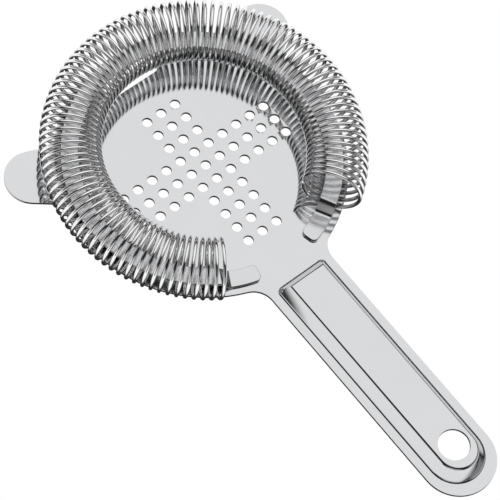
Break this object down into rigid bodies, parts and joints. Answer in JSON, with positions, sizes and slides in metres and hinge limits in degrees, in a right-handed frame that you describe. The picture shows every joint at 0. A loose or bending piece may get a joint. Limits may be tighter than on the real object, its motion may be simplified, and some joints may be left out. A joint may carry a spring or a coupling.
{
  "type": "hawthorne strainer",
  "caption": "Hawthorne cocktail strainer: perforated plate with ears and an embossed handle, and a coil spring threaded on a band round its rim.",
  "frame": {"origin": "on the plate's back face, under the centre of the spring ring", "axes": "+X along the handle towards the hanging hole, +Z from the back face through the spring, +Y across towards the ears"},
  "size_m": [0.1589, 0.0934, 0.0177],
  "materials": {
    "plate_steel": "satin, bright",
    "band_steel": "satin",
    "spring_wire": "polished"
  },
  "bodies": {
    "plate": {"strainer_plate": "plate_steel", "spring_band": "band_steel"},
    "spring": {"coil_spring": "spring_wire"}
  },
  "joints": [
    {"name": "spring_slide", "type": "hinge", "parent": "plate", "child": "spring", "pos_m": [0, 0, 0.0094], "axis": [0, 0, 1], "range_deg": [-1, 2]}
  ]
}
